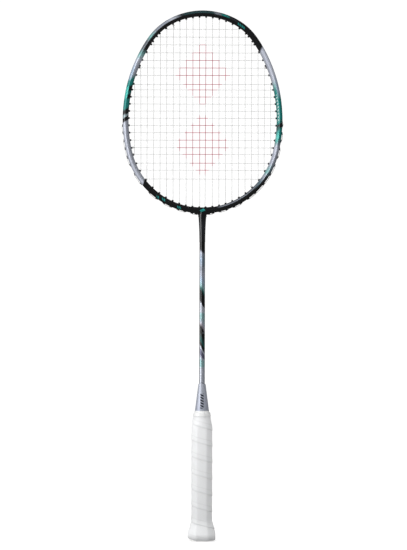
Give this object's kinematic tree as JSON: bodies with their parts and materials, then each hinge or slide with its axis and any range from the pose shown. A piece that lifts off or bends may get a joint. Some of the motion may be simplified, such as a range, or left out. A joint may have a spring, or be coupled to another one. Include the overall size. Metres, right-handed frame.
{
  "type": "badminton racket",
  "caption": "Strung badminton racket: oval hollow frame with grommets and woven strings, slim round shaft, tapered cone and an octagonal taped handle with a flared butt.",
  "frame": {"origin": "centre of the butt's flat end face", "axes": "+Z along the shaft from the butt to the head, X across the string face, Y through the string face"},
  "size_m": [0.2059, 0.0328, 0.675],
  "materials": {
    "painted_frame": "gloss",
    "painted_shaft": "gloss",
    "joint_alloy": "satin",
    "black_nylon": "satin",
    "string_nylon": "satin",
    "silver_plastic": "satin",
    "handle_wood": "matte",
    "white_plastic": "satin",
    "white_wrap": "matte",
    "white_vinyl": "satin"
  },
  "bodies": {
    "root": {"head_frame": "painted_frame", "throat_fairing": "painted_frame", "shaft": "painted_shaft", "t_joint": "joint_alloy", "crown_grommets": "black_nylon", "left_grommets": "black_nylon", "right_grommets": "black_nylon", "throat_grommets": "black_nylon", "shared_grommets": "black_nylon", "main_string": "string_nylon", "cross_string": "string_nylon", "string_knots": "string_nylon", "cone_cap": "silver_plastic", "handle_core": "handle_wood", "butt_cap": "white_plastic", "butt_badge": "silver_plastic", "grip_tape": "white_wrap", "grip_band": "white_vinyl"}
  },
  "joints": []
}
